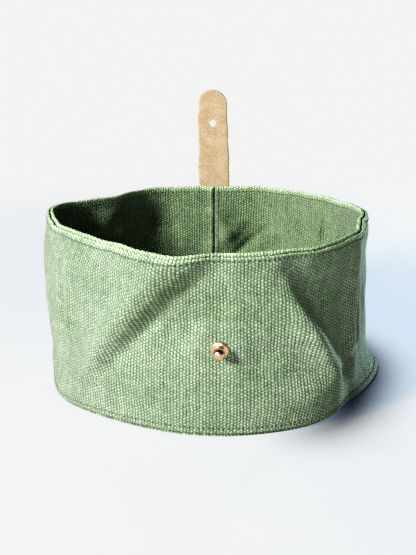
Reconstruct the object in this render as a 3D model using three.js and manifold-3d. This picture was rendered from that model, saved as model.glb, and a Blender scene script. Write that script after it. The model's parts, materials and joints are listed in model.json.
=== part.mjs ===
// A fruit picking bag: a round, flat-bottomed pouch of heavy canvas with a lining of the same canvas, and a
// leather strap that forms a belt loop behind the bag, stands up from its back rim and buttons over a stud.
//
// Millimetres, +Z up. The origin is the centre of the base's underside, the stud is at the front (-Y) and
// the strap is at the back (+Y). The wall is soft, so its plan is a circle with shallow bulges and hollows.
// Pieces that touch on the real bag keep a gap of TOUCH between them.

import * as THREE from 'three';
import { mergeVertices } from 'three/addons/utils/BufferGeometryUtils.js';
import Module from 'manifold-3d';

const wasm = await Module();
wasm.setup();

// ---- driving dimensions ----

const TOUCH = 0.3; // the gap kept between pieces that touch
const CUT = 1.0; // how far a cutter runs past what it cuts
const ROUND_STEPS = 60; // facets round the bag

const HEIGHT = 99; // base underside to the top of the rim
const BASE_RADIUS = 98; // outside of the wall at the base, without the bulges
const RIM_RADIUS = 97.5; // outside of the wall at the rim, without the bulges
const BACK_Y = 100; // the wall is flat here, behind the strap
const BACK_FLAT_HALF = 9; // degrees of flat wall each side of the strap
const BACK_FADE_HALF = 20; // degrees from the strap where the flat has gone

const PLY = 1.2; // thickness of the canvas
const WALL_THICKNESS = 4.7; // outer ply, the space for the turned edges, and the lining
const HEM = 1.0; // a turned edge, pressed thinner than the open ply
const HEM_FOOT_Z = HEIGHT - 10; // each rim edge is turned down this far, inside
const WALL_FOOT_Z = 2.5; // bottom edge of the outer wall, above the base panel's rolled edge
const BASE_TURN_UP = 8; // height of the base panel's edge, turned up inside the wall

const THREAD = 0.6;
const RIM_STITCH_Z = HEIGHT - 3.7;
const BASE_STITCH_Z = WALL_FOOT_Z + 2.7;

const STRAP_THICKNESS = 2.5;
const STRAP_WIDTH = 22;
const STRAP_TIP_WIDTH = 20;
const STRAP_TIP_Z = 165.4;
const STRAP_FOOT_Z = 12;
const STRAP_LEAN = Math.tan(THREE.MathUtils.degToRad(1.4)); // towards -X, above the rim
const LOOP_DEPTH = 7; // the belt's room between the wall and the strap
const LOOP_LOW = [25, 35]; // heights between which the strap leaves the wall
const LOOP_HIGH = [65, 75]; // heights between which it comes back
const HEM_STEP = [86, 92]; // heights between which it climbs over the rim's stitching
const HINGE_ZS = [103, 117, 131]; // where the free strap bends
const HINGE_GAP = 0.4;
const BUTTONHOLE_Z = 142.5;
const BUTTONHOLE_RADIUS = 2.35;
const SLIT_LENGTH = 5;
const SLIT_WIDTH = 0.8;

const RIVET_ZS = { lower: 19.5, upper: 80 };
const RIVET_HEAD_RADIUS = 4.5;
const RIVET_SHANK_RADIUS = 1.6;
const RIVET_BASE = 0.8; // thickness of the rivet's head between the plies
const RIVET_CAP = 1.6; // height of the domed cap

const STUD_X = 1.5;
const STUD_Z = 49;
const STUD_FLAT_RADIUS = 9; // the wall is pressed flat this far from the stud
const STUD_FADE_RADIUS = 18; // where the flat has gone
const STUD_FLANGE_RADIUS = 4.6;
const STUD_FLANGE = 1.6;
const STUD_NECK_RADIUS = 2;
const STUD_BALL_RADIUS = 3.25;
const STUD_LENGTH = 8.9;
const STUD_BORE_RADIUS = 1.65;
const STUD_BORE_DEPTH = 5;
const SCREW_RADIUS = 1.35;
const SCREW_HEAD_RADIUS = 4;
const SCREW_HEAD = 1.2;
const SCREW_SLOT = [0.8, 0.6]; // width and depth
const PATCH_RADIUS = 6.5; // leather washer between the plies, behind the stud
const PATCH = 1.4;

// Bulges (out > 0) and hollows (out < 0) of the soft wall: the direction and half-width in degrees, the
// height and half-height in millimetres, and how far the wall moves.
const WALL_SHAPE = [
  { at: 162, wide: 19, z: 61, tall: 69, out: 14 }, // left end
  { at: -133, wide: 28, z: 107, tall: 15, out: -10 }, // rim pulled in, front left
  { at: -111, wide: 13, z: 94, tall: 17, out: 7 }, // rim standing forward, left of the stud
  { at: -119, wide: 22, z: -1, tall: 31, out: -2.5 }, // foot drawn in, front left
  { at: -61, wide: 13, z: 70, tall: 69, out: 4 }, // right of the stud
  { at: -37, wide: 22, z: 43, tall: 68, out: -8.5 }, // front right
  { at: -9, wide: 15, z: 78, tall: 86, out: -8.5 }, // right side, pushed in
  { at: 2, wide: 24, z: -3, tall: 11, out: 10 }, // slack that settles over the base on the right
  { at: 90, wide: 32, z: 0, tall: 60, out: 2 }, // back, drawn out by the strap
  { at: 68, wide: 16, z: 99, tall: 60, out: 8 }, // back right
  { at: 111, wide: 16, z: 99, tall: 60, out: 8.5 }, // back left
  { at: 141, wide: 15, z: 99, tall: 50, out: -5.5 }, // left of the back
];

// Folds that run aslant: the direction and height of the middle, the tilt of the fold from level (90 is
// upright), its half-length and half-width in millimetres along the wall, and how far the wall moves.
const WALL_FOLDS = [
  { at: -118, z: 62, tilt: 48, long: 47, wide: 8.5, out: 8 }, // crest from the foot to the rim, left of the stud
  { at: -102, z: 57, tilt: 27, long: 28, wide: 14, out: -4.5 }, // recess below that crest
  { at: -89, z: 85, tilt: -3, long: 14, wide: 13, out: -4 }, // hollow under the rim, above the stud
  { at: -59, z: 52, tilt: -55, long: 32, wide: 7.5, out: 9 }, // crest down from the rim, right of the stud
  { at: -60, z: 75, tilt: -38, long: 25, wide: 16, out: -8 }, // hollow above that crest
  { at: -151, z: 5, tilt: 13, long: 32, wide: 12, out: 4 }, // slack over the base, front left
  { at: -127, z: 26, tilt: 30, long: 18, wide: 8, out: 1.5 }, // end of the left crest
  { at: -71, z: 20, tilt: 10, long: 30, wide: 10, out: 2.5 }, // slack over the base, under the stud
  { at: -52, z: 18, tilt: -33, long: 20, wide: 17, out: 7.5 }, // end of the right crest
];

// ---- materials ----

const canvas = new THREE.MeshStandardMaterial({ color: 0x8fa884, roughness: 0.95, metalness: 0 });
const lining = new THREE.MeshStandardMaterial({ color: 0x7f9a70, roughness: 0.95, metalness: 0 });
const thread = new THREE.MeshStandardMaterial({ color: 0x9db491, roughness: 0.8, metalness: 0 });
const leather = new THREE.MeshStandardMaterial({ color: 0xd6ba93, roughness: 0.85, metalness: 0 });
const copper = new THREE.MeshStandardMaterial({ color: 0xcf9367, roughness: 0.18, metalness: 1 });

// ---- solids ----

function toManifold(geometry) {
  const bare = geometry.clone();
  bare.deleteAttribute('normal');
  bare.deleteAttribute('uv');
  const merged = mergeVertices(bare, 1e-4);
  return new wasm.Manifold(new wasm.Mesh({
    numProp: 3,
    vertProperties: merged.attributes.position.array,
    triVerts: Uint32Array.from(merged.index.array),
  }));
}

function toGeometry(manifold) {
  const mesh = manifold.getMesh();
  const geometry = new THREE.BufferGeometry();
  geometry.setAttribute('position', new THREE.BufferAttribute(mesh.vertProperties, 3));
  geometry.setIndex(new THREE.BufferAttribute(mesh.triVerts, 1));
  geometry.computeVertexNormals();
  return geometry;
}

function cut(geometry, cutters) {
  return toGeometry(cutters.reduce((solid, cutter) => solid.subtract(toManifold(cutter)), toManifold(geometry)));
}

// A shape drawn in (across, up) and extruded through the bag, centred on depth 0.
function extrudeAlong(shape, depth, across, up) {
  const through = new THREE.Vector3().crossVectors(across, up);
  const geometry = new THREE.ExtrudeGeometry(shape, { depth, bevelEnabled: false, curveSegments: 10 });
  geometry.translate(0, 0, -depth / 2);
  return geometry.applyMatrix4(new THREE.Matrix4().makeBasis(across, up, through));
}

const X = new THREE.Vector3(1, 0, 0);
const Y = new THREE.Vector3(0, 1, 0);
const Z = new THREE.Vector3(0, 0, 1);

// A turned piece whose axis starts at `from` and points along `direction`; profile is [radius, distance].
function turned(profile, from, direction, sides = 20) {
  const points = profile.map(([radius, along]) => new THREE.Vector2(radius, along));
  const geometry = new THREE.LatheGeometry(points, sides);
  geometry.applyQuaternion(new THREE.Quaternion().setFromUnitVectors(Y, direction));
  return geometry.translate(from.x, from.y, from.z);
}

function drill(radius, from, direction, start, end) {
  return turned([[0, start], [radius, start], [radius, end], [0, end]], from, direction, 16);
}

// ---- the soft wall's shape ----

const bell = (distance, width) => Math.exp(-((distance / width) ** 2));
const between = (a, b, x) => THREE.MathUtils.smoothstep(x, a, b);

function turnBetween(a, b) {
  return THREE.MathUtils.euclideanModulo(a - b + 180, 360) - 180;
}

// Distance of the slack wall from the axis, towards `angle` degrees and at height z.
function slackRadius(angle, z) {
  let radius = THREE.MathUtils.lerp(BASE_RADIUS, RIM_RADIUS, z / HEIGHT);
  for (const { at, wide, z: height, tall, out } of WALL_SHAPE) {
    radius += out * bell(turnBetween(angle, at), wide) * bell(z - height, tall);
  }
  for (const { at, z: height, tilt, long, wide, out } of WALL_FOLDS) {
    const across = BASE_RADIUS * THREE.MathUtils.degToRad(turnBetween(angle, at));
    const place = new THREE.Vector2(across, z - height);
    place.rotateAround(new THREE.Vector2(), THREE.MathUtils.degToRad(-tilt));
    radius += out * bell(place.x, long) * bell(place.y, wide);
  }
  return radius;
}

// Where the stud sits: a point on the wall and the horizontal direction out of it.
function wallFrame(angle, z) {
  const step = 0.5;
  const [before, point, after] = [angle - step, angle, angle + step].map((direction) => {
    const turn = THREE.MathUtils.degToRad(direction);
    return new THREE.Vector3(Math.cos(turn), Math.sin(turn), 0).multiplyScalar(slackRadius(direction, z));
  });
  const along = after.sub(before);
  return { point: point.setZ(z), out: new THREE.Vector3(along.y, -along.x, 0).normalize() };
}

const STUD_ANGLE = -90 + THREE.MathUtils.radToDeg(Math.asin(STUD_X / BASE_RADIUS));
const studSeat = wallFrame(STUD_ANGLE, STUD_Z);
const rivetSeat = (z) => ({ point: new THREE.Vector3(0, BACK_Y, z), out: Y.clone() });

// Distance of the wall's outside from the axis: the slack wall, pressed flat behind the strap and at the stud.
function wallRadius(angle, z) {
  let radius = slackRadius(angle, z);
  const off = Math.abs(turnBetween(angle, 90));
  if (off < BACK_FADE_HALF) {
    const flat = BACK_Y / Math.cos(THREE.MathUtils.degToRad(off));
    radius = THREE.MathUtils.lerp(flat, radius, between(BACK_FLAT_HALF, BACK_FADE_HALF, off));
  }
  const across = BASE_RADIUS * THREE.MathUtils.degToRad(turnBetween(angle, STUD_ANGLE));
  const fromStud = Math.hypot(across, z - STUD_Z);
  if (fromStud < STUD_FADE_RADIUS) {
    const turn = THREE.MathUtils.degToRad(angle);
    const { point, out } = studSeat;
    const flat = (point.x * out.x + point.y * out.y) / (Math.cos(turn) * out.x + Math.sin(turn) * out.y);
    radius = THREE.MathUtils.lerp(flat, radius, between(STUD_FLAT_RADIUS, STUD_FADE_RADIUS, fromStud));
  }
  return radius;
}

function wallPoint(angle, z, inset) {
  const radius = wallRadius(angle, z) - inset;
  const turn = THREE.MathUtils.degToRad(angle);
  return new THREE.Vector3(radius * Math.cos(turn), radius * Math.sin(turn), z);
}

// A solid that follows the wall. The section is [inset from the wall's outside, z] points in order round it;
// an inset of null is a point on the bag's axis.
function followWall(section) {
  const places = [];
  const rows = section.map(([inset, z]) => {
    const onAxis = inset === null;
    const first = places.length / 3;
    for (let step = 0; step < (onAxis ? 1 : ROUND_STEPS); step += 1) {
      const point = onAxis ? new THREE.Vector3(0, 0, z) : wallPoint((step * 360) / ROUND_STEPS, z, inset);
      places.push(point.x, point.y, point.z);
    }
    return (step) => (onAxis ? first : first + (step % ROUND_STEPS));
  });
  // Every face is split along the same diagonal of the wall, so that facing surfaces stay parallel.
  const faces = [];
  rows.forEach((row, n) => {
    const next = rows[(n + 1) % rows.length];
    const rises = section[(n + 1) % rows.length][1] > section[n][1];
    const halves = rises ? [[0, 1, 2], [0, 2, 3]] : [[0, 1, 3], [1, 2, 3]];
    for (let step = 0; step < ROUND_STEPS; step += 1) {
      const corners = [row(step), row(step + 1), next(step + 1), next(step)];
      for (const [a, b, c] of halves) {
        const face = [corners[a], corners[b], corners[c]];
        if (new Set(face).size === 3) faces.push(...face);
      }
    }
  });
  const geometry = new THREE.BufferGeometry();
  geometry.setAttribute('position', new THREE.Float32BufferAttribute(places, 3));
  geometry.setIndex(faces);
  geometry.computeVertexNormals();
  return geometry;
}

// The heights at which every piece that follows the wall bends with it.
const WALL_BENDS = [
  WALL_FOOT_Z, BASE_STITCH_Z, BASE_TURN_UP, 13, 22, 31, 40, STUD_Z, 58, 66, 75, 83, HEM_FOOT_Z, RIM_STITCH_Z,
];
const bendsBetween = (from, to) => WALL_BENDS.filter((z) => z > from && z < to);

// ---- canvas pieces ----

// The outer ply with its rim edge turned down inside, holed for the rivets and the stud.
function outerWall() {
  const below = [WALL_FOOT_Z, ...bendsBetween(WALL_FOOT_Z, HEM_FOOT_Z)];
  const beside = [HEM_FOOT_Z, ...bendsBetween(HEM_FOOT_Z, HEIGHT)];
  const section = [
    ...[...below, ...beside].map((z) => [0, z]),
    [0, HEIGHT - 1],
    [HEM, HEIGHT],
    [PLY + HEM, HEIGHT - 0.6],
    ...beside.reverse().map((z) => [PLY + HEM, z]),
    ...below.reverse().map((z) => [PLY, z]),
  ];
  const holes = Object.values(RIVET_ZS).map((z) => {
    const { point, out } = rivetSeat(z);
    return drill(RIVET_SHANK_RADIUS + TOUCH, point, out, -PLY - HEM - CUT, CUT);
  });
  holes.push(drill(SCREW_RADIUS + TOUCH, studSeat.point, studSeat.out, -PLY - CUT, CUT));
  return cut(followWall(section), holes);
}

// The lining's tube, its rim edge turned down between the plies.
function liningWall() {
  const inside = WALL_THICKNESS;
  const outside = inside - PLY;
  const foot = 2 * (PLY + TOUCH);
  const below = [foot, ...bendsBetween(foot, HEM_FOOT_Z)];
  const beside = [HEM_FOOT_Z, ...bendsBetween(HEM_FOOT_Z, HEIGHT)];
  const whole = [...below, ...beside];
  const section = [
    ...below.map((z) => [outside, z]),
    ...beside.map((z) => [outside - HEM, z]),
    [outside - HEM, HEIGHT - 0.6],
    [outside, HEIGHT],
    [inside, HEIGHT - 1],
    ...whole.reverse().map((z) => [inside, z]),
  ];
  const hole = drill(SCREW_RADIUS + TOUCH, studSeat.point, studSeat.out, -inside - CUT, -outside + CUT);
  return cut(followWall(section), [hole]);
}

// The base panel, its edge rolled up inside the wall's foot.
function outerBase() {
  const outside = PLY + TOUCH;
  const inside = outside + PLY;
  const up = bendsBetween(PLY, BASE_TURN_UP + TOUCH);
  return followWall([
    [null, 0],
    [outside + 1, 0],
    [outside, 1],
    ...up.map((z) => [outside, z]),
    ...up.reverse().map((z) => [inside, z]),
    [inside, PLY],
    [null, PLY],
  ]);
}

function liningBase() {
  const low = PLY + TOUCH;
  const edge = WALL_THICKNESS - PLY;
  return followWall([[null, low], [edge, low], [edge, low + PLY], [null, low + PLY]]);
}

// A row of stitching, as one thread round the bag with its middle `off` outside the wall's outside.
function stitching(z, off) {
  const half = THREAD / 2;
  return followWall([[-off, z - half], [-off - half, z], [-off, z + half], [-off + half, z]]);
}

const OUTSIDE_THREAD = TOUCH + THREAD / 2;
const INSIDE_THREAD = -WALL_THICKNESS - TOUCH - THREAD / 2;

// ---- the strap ----

const STRAP_MIDDLE_Y = BACK_Y + TOUCH + STRAP_THICKNESS / 2;
const FLAP_Y = STRAP_MIDDLE_Y + TOUCH + THREAD; // the free strap stands clear of the rim's stitching

// Middle of the leather behind the wall, as a distance from the bag's axis.
function strapY(z) {
  const bow = between(...LOOP_LOW, z) - between(...LOOP_HIGH, z);
  return STRAP_MIDDLE_Y + LOOP_DEPTH * bow + (FLAP_Y - STRAP_MIDDLE_Y) * between(...HEM_STEP, z);
}

// Side view of the belt loop: the leather's thickness laid off both sides of its middle line.
function loopSide(top) {
  const steps = 44;
  const front = [];
  const back = [];
  for (let n = 0; n <= steps; n += 1) {
    const z = THREE.MathUtils.lerp(STRAP_FOOT_Z, top, n / steps);
    const slope = (strapY(z + 0.1) - strapY(z - 0.1)) / 0.2;
    const normal = new THREE.Vector2(1, -slope).setLength(STRAP_THICKNESS / 2);
    const middle = new THREE.Vector2(strapY(z), z);
    front.push(middle.clone().sub(normal));
    back.push(middle.clone().add(normal));
  }
  return new THREE.Shape([...front, ...back.reverse()]);
}

// Side view of a stretch of the free strap: its foot is round about its hinge, and its top is square.
function flapSide(hinge, top) {
  const shape = new THREE.Shape();
  const half = STRAP_THICKNESS / 2;
  shape.moveTo(FLAP_Y + half, top);
  shape.lineTo(FLAP_Y - half, top);
  shape.lineTo(FLAP_Y - half, hinge);
  shape.absarc(FLAP_Y, hinge, half, Math.PI, 2 * Math.PI, false);
  return shape;
}

const strapX = (z) => -STRAP_LEAN * Math.max(0, z - HEIGHT);

// Front view of the whole strap, with its round end.
function strapFront() {
  const shape = new THREE.Shape();
  const tip = STRAP_TIP_WIDTH / 2;
  const tipZ = STRAP_TIP_Z - tip;
  shape.moveTo(-STRAP_WIDTH / 2, HEIGHT - CUT);
  shape.lineTo(STRAP_WIDTH / 2, HEIGHT - CUT);
  shape.lineTo(strapX(tipZ) + tip, tipZ);
  shape.absarc(strapX(tipZ), tipZ, tip, 0, Math.PI, false);
  return shape;
}

function buttonhole() {
  const middle = new THREE.Vector3(strapX(BUTTONHOLE_Z), FLAP_Y, BUTTONHOLE_Z);
  const reach = STRAP_THICKNESS / 2 + CUT;
  const hole = drill(BUTTONHOLE_RADIUS, middle, Y, -reach, reach);
  const slitHeight = BUTTONHOLE_RADIUS + SLIT_LENGTH;
  const slit = new THREE.BoxGeometry(SLIT_WIDTH, 2 * reach, slitHeight);
  slit.translate(middle.x, middle.y, middle.z - slitHeight / 2);
  return [hole, slit];
}

function strapLoop() {
  const top = HINGE_ZS[0] - STRAP_THICKNESS / 2 - HINGE_GAP;
  const solid = extrudeAlong(loopSide(top), STRAP_WIDTH, Y, Z);
  const holes = Object.values(RIVET_ZS).map((z) => {
    const { point, out } = rivetSeat(z);
    return drill(RIVET_SHANK_RADIUS + TOUCH, point, out, -CUT, STRAP_THICKNESS + TOUCH + CUT);
  });
  return cut(solid, holes);
}

// The free strap's stretch above hinge n.
function flap(n) {
  const next = HINGE_ZS[n + 1];
  const top = next ? next - STRAP_THICKNESS / 2 - HINGE_GAP : STRAP_TIP_Z + CUT;
  const side = toManifold(extrudeAlong(flapSide(HINGE_ZS[n], top), 2 * STRAP_WIDTH, Y, Z));
  const deep = 4 * STRAP_THICKNESS;
  const front = extrudeAlong(strapFront(), deep, X, Z).translate(0, FLAP_Y, 0);
  const blank = toGeometry(side.intersect(toManifold(front)));
  return next ? blank : cut(blank, buttonhole());
}

// ---- rivets and stud ----

const CAP_SEAT = TOUCH + STRAP_THICKNESS + TOUCH; // the cap's underside, from the wall's outside

// Head between the plies, and the shank that the cap is pressed on to.
function rivetPost({ point, out }) {
  const seat = -PLY - TOUCH;
  const tip = CAP_SEAT + 0.6;
  return turned([
    [0, seat - RIVET_BASE],
    [RIVET_HEAD_RADIUS, seat - RIVET_BASE],
    [RIVET_HEAD_RADIUS, seat],
    [RIVET_SHANK_RADIUS, seat],
    [RIVET_SHANK_RADIUS, tip],
    [0, tip],
  ], point, out);
}

function rivetCap({ point, out }) {
  const socket = RIVET_SHANK_RADIUS + TOUCH;
  return turned([
    [0, CAP_SEAT + 0.9],
    [socket, CAP_SEAT + 0.9],
    [socket, CAP_SEAT],
    [RIVET_HEAD_RADIUS - 0.4, CAP_SEAT],
    [RIVET_HEAD_RADIUS, CAP_SEAT + 0.4],
    [RIVET_HEAD_RADIUS * 0.8, CAP_SEAT + RIVET_CAP * 0.75],
    [RIVET_HEAD_RADIUS * 0.4, CAP_SEAT + RIVET_CAP * 0.96],
    [0, CAP_SEAT + RIVET_CAP],
  ], point, out);
}

// Flange, neck and ball in one turned piece, tapped from behind for the screw.
function studHead() {
  const { point, out } = studSeat;
  const ballMiddle = STUD_LENGTH - STUD_BALL_RADIUS;
  const neckTurn = Math.asin(STUD_NECK_RADIUS / STUD_BALL_RADIUS);
  const arc = [];
  for (let n = 0; n <= 9; n += 1) {
    const turn = THREE.MathUtils.lerp(Math.PI - neckTurn, 0, n / 9);
    arc.push([STUD_BALL_RADIUS * Math.sin(turn), ballMiddle + STUD_BALL_RADIUS * Math.cos(turn)]);
  }
  return turned([
    [0, STUD_BORE_DEPTH],
    [STUD_BORE_RADIUS, STUD_BORE_DEPTH],
    [STUD_BORE_RADIUS, 0],
    [STUD_FLANGE_RADIUS, 0],
    [STUD_FLANGE_RADIUS, STUD_FLANGE * 0.5],
    [STUD_FLANGE_RADIUS - 0.5, STUD_FLANGE],
    [STUD_NECK_RADIUS, STUD_FLANGE],
    ...arc.slice(0, -1),
    [0, STUD_LENGTH],
  ], point.clone().addScaledVector(out, TOUCH), out, 24);
}

function studScrew() {
  const { point, out } = studSeat;
  const seat = -WALL_THICKNESS - TOUCH;
  const tip = TOUCH + STUD_BORE_DEPTH - TOUCH;
  const screw = turned([
    [0, seat - SCREW_HEAD],
    [SCREW_HEAD_RADIUS - 0.5, seat - SCREW_HEAD],
    [SCREW_HEAD_RADIUS, seat - SCREW_HEAD * 0.6],
    [SCREW_HEAD_RADIUS, seat],
    [SCREW_RADIUS, seat],
    [SCREW_RADIUS, tip],
    [0, tip],
  ], point, out);
  const [width, depth] = SCREW_SLOT;
  const slot = new THREE.BoxGeometry(width, 2 * depth, 3 * SCREW_HEAD_RADIUS);
  slot.applyQuaternion(new THREE.Quaternion().setFromUnitVectors(Y, out));
  const place = point.clone().addScaledVector(out, seat - SCREW_HEAD);
  return cut(screw, [slot.translate(place.x, place.y, place.z)]);
}

function studPatch() {
  const { point, out } = studSeat;
  const middle = -WALL_THICKNESS / 2;
  const hole = SCREW_RADIUS + TOUCH;
  return turned([
    [hole, middle - PATCH / 2],
    [PATCH_RADIUS, middle - PATCH / 2],
    [PATCH_RADIUS, middle + PATCH / 2],
    [hole, middle + PATCH / 2],
    [hole, middle - PATCH / 2],
  ], point, out);
}

// ---- the bag ----

function mesh(name, geometry, material) {
  const piece = new THREE.Mesh(geometry, material);
  piece.name = name;
  return piece;
}

function pouch() {
  const group = new THREE.Group();
  group.add(
    mesh('outer_wall', outerWall(), canvas),
    mesh('outer_base', outerBase(), canvas),
    mesh('lining_wall', liningWall(), lining),
    mesh('lining_base', liningBase(), lining),
    mesh('rim_topstitch_outside', stitching(RIM_STITCH_Z, OUTSIDE_THREAD), thread),
    mesh('rim_topstitch_inside', stitching(RIM_STITCH_Z, INSIDE_THREAD), thread),
    mesh('base_topstitch', stitching(BASE_STITCH_Z, OUTSIDE_THREAD), thread),
  );
  return group;
}

function strap() {
  const group = new THREE.Group();
  group.add(mesh('strap_belt_loop', strapLoop(), leather));
  ['lower', 'middle', 'tip'].forEach((place, n) => group.add(mesh(`strap_flap_${place}`, flap(n), leather)));
  for (const [place, z] of Object.entries(RIVET_ZS)) {
    group.add(
      mesh(`${place}_rivet_post`, rivetPost(rivetSeat(z)), copper),
      mesh(`${place}_rivet_cap`, rivetCap(rivetSeat(z)), copper),
    );
  }
  return group;
}

function closure() {
  const group = new THREE.Group();
  group.add(
    mesh('stud', studHead(), copper),
    mesh('stud_screw', studScrew(), copper),
    mesh('stud_backing_washer', studPatch(), leather),
  );
  return group;
}

const bag = new THREE.Group();
bag.add(pouch(), strap(), closure());

export default bag;
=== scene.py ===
"""Looks of the fruit picking bag: a round canvas pouch with a lining, a leather strap and a copper stud.

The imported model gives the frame. Shapes are worked out in millimetres, as the model is, and become metres
when a mesh is made. Directions round the bag are in degrees from +X: the stud is at -90, the strap at +90.
"""
import json
import math
from functools import partialmethod, reduce

import bmesh
import bpy
import numpy as np
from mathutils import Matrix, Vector

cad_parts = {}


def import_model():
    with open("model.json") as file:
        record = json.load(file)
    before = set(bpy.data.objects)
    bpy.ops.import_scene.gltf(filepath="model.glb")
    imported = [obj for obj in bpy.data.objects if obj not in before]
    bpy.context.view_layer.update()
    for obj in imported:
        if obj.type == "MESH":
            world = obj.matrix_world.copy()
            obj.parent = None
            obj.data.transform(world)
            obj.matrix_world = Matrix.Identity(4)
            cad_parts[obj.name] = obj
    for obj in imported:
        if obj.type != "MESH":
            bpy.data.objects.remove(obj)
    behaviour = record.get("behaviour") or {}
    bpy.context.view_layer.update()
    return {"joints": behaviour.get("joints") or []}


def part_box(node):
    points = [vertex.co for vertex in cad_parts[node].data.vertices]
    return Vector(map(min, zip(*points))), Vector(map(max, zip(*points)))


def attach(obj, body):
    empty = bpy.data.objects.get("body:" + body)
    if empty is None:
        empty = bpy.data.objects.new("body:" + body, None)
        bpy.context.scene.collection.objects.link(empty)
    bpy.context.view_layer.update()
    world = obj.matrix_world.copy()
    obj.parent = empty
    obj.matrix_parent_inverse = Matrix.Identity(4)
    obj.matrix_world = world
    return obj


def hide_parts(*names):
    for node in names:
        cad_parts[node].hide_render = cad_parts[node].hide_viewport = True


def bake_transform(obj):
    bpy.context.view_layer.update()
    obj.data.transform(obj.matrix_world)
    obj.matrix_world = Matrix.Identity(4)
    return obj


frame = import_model()

MM = 0.001


def foot_of(node):
    """Height of a node's lowest point, in millimetres."""
    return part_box(node)[0][2] / MM


def top_of(node):
    """Height of a node's highest point, in millimetres."""
    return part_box(node)[1][2] / MM


# ---- driving sizes: from the frame where it holds them ----

HEIGHT = top_of("outer_wall")
BACK_Y = 100.0  # the flat back of the wall
BASE_RADIUS = 98.0
RIM_RADIUS = 97.5
BACK_FLAT_HALF = 9.0  # degrees of flat wall each side of the strap
BACK_FADE_HALF = 20.0  # degrees from the strap where the flat has gone

PLY = 1.2  # one thickness of canvas
WALL_THICKNESS = 4.7  # four plies at the rim
EDGE_RADIUS = 1.02  # half the thickness of a turned rim edge
RIM_STEP = 0.8  # how far the outer edge sits below the lining's
RIM_DIP = 1.0  # how much further it sits below it at the front
DIP_ANGLE, DIP_HALF = -76, 34  # where the rim dips, and half how far round, in degrees
RIM_WAVE = 0.45  # how far the rim undulates up and down
FOOT_SETTLES = 1.2  # how far the wall's foot comes down at the right
SETTLES_ANGLE, SETTLES_HALF = -15, 45  # where it does, and half how far round, in degrees
FOOT_TUCK = 0.5  # how far the base panel's edge draws in under that foot
HEM_FOOT_Z = HEIGHT - 10
HEM_TAPER = 1  # height over which a hem's thickness runs out
OUTER_TOP_Z = HEIGHT - RIM_STEP
OUTER_FOOT_Z = foot_of("outer_wall") + PLY / 2
LINING_FOOT_Z = 3.2
TURN_UP_Z = top_of("outer_base")
TOUCH = 0.3  # gap between parts that rest on each other

CAD_THREAD_RADIUS = 0.3
RIM_STITCH_Z = foot_of("rim_topstitch_outside") + CAD_THREAD_RADIUS
BASE_STITCH_Z = foot_of("base_topstitch") + CAD_THREAD_RADIUS
SEWN_ZS = (RIM_STITCH_Z, BASE_STITCH_Z)
STITCHES = 237  # in one row round the bag
STITCH_LENGTH = 2.0
THREAD_RADIUS = 0.28
STITCH_PULL = 0.30  # how deep a row draws the cloth in
HOLE_PULL = 0.14  # and how much deeper where the needle went through
PULL_HALF = 0.8  # half the width of the drawn-in cloth

CLOTH_ROUND = 2 * math.pi * BASE_RADIUS  # length of the cloth round the bag
STITCH_PITCH = CLOTH_ROUND / STITCHES
WARP_YARNS = 348  # round the bag
WARP_PITCH = CLOTH_ROUND / WARP_YARNS
WEFT_PITCH = 0.875
ROUND_STEPS = 720

SEAM_ANGLE = 90.0
SEAM_GROOVE, GROOVE_HALF = 1.5, 0.75  # depth and half-width of the lining's seam
SEAM_RIDGE, RIDGE_HALF = 0.7, 1.3  # height and half-width of the cloth on each side of it
RIDGE_OFF = 2.2  # from the seam to that cloth
LINING_ROOM = 1.6  # how far out the lining's own folds may push it

STUD_X = 1.5
STUD_Z = 49.0
STUD_ANGLE = -90 + math.degrees(math.asin(STUD_X / BASE_RADIUS))
STUD_FLAT_RADIUS = 9.0  # the wall is pressed flat this far from the stud
STUD_FADE_RADIUS = 18.0  # where the flat has gone

HINGE_ZS = [joint["pos_m"][2] / MM for joint in frame["joints"]]
STRAP_THICKNESS = 2.5
STRAP_EDGE = 0.9  # how far in from its outline the leather is rounded
STRAP_WIDTH = 21.8
STRAP_TIP_WIDTH = 20.3
STRAP_LEAN = math.tan(math.radians(1.4))  # towards -X, above the rim
STRAP_FOOT_Z = foot_of("strap_belt_loop")
STRAP_TIP_Z = top_of("strap_flap_tip")
STRAP_END_Z = STRAP_TIP_Z - STRAP_TIP_WIDTH / 2  # where its round end begins
FLAP_Y = frame["joints"][0]["pos_m"][1] / MM
LOOP_Y = BACK_Y + TOUCH + STRAP_THICKNESS / 2
LOOP_DEPTH = 7.0  # the belt's room between the wall and the strap
LOOP_LOW = (25, 35)  # heights between which the strap leaves the wall
LOOP_HIGH = (65, 75)  # heights between which it comes back
STRAP_STEP = (86, 92)  # heights between which it steps out over the rim's stitching
BUTTONHOLE_Z = 142.5

RIVET_ZS = {"lower": 19.5, "upper": 80.0}
BEHIND_RIVETS = -PLY - TOUCH  # where the rivets' heads bear, between the plies
CAP_SEAT = TOUCH + STRAP_THICKNESS + TOUCH  # where their caps bear, on the strap
INSIDE_SEAT = -WALL_THICKNESS - TOUCH  # where the stud's screw bears, on the lining
SCREW_HEAD = 1.2  # height of the screw's head


# ---- meshes ----

def add_object(name, data):
    obj = bpy.data.objects.new(name, data)
    bpy.context.scene.collection.objects.link(obj)
    return obj


def make_mesh(name, points, faces, uvs=None):
    """A mesh object from points in millimetres; uvs holds each face's corners, in millimetres of cloth."""
    mesh = bpy.data.meshes.new(name)
    mesh.from_pydata((np.asarray(points, float) * MM).tolist(), [], [tuple(f) for f in faces])
    if uvs is not None:
        layer = mesh.uv_layers.new(name="cloth")
        layer.data.foreach_set("uv", np.asarray(uvs, np.float32).ravel())
    mesh.polygons.foreach_set("use_smooth", [True] * len(mesh.polygons))
    mesh.update()
    return add_object(name, mesh)


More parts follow.
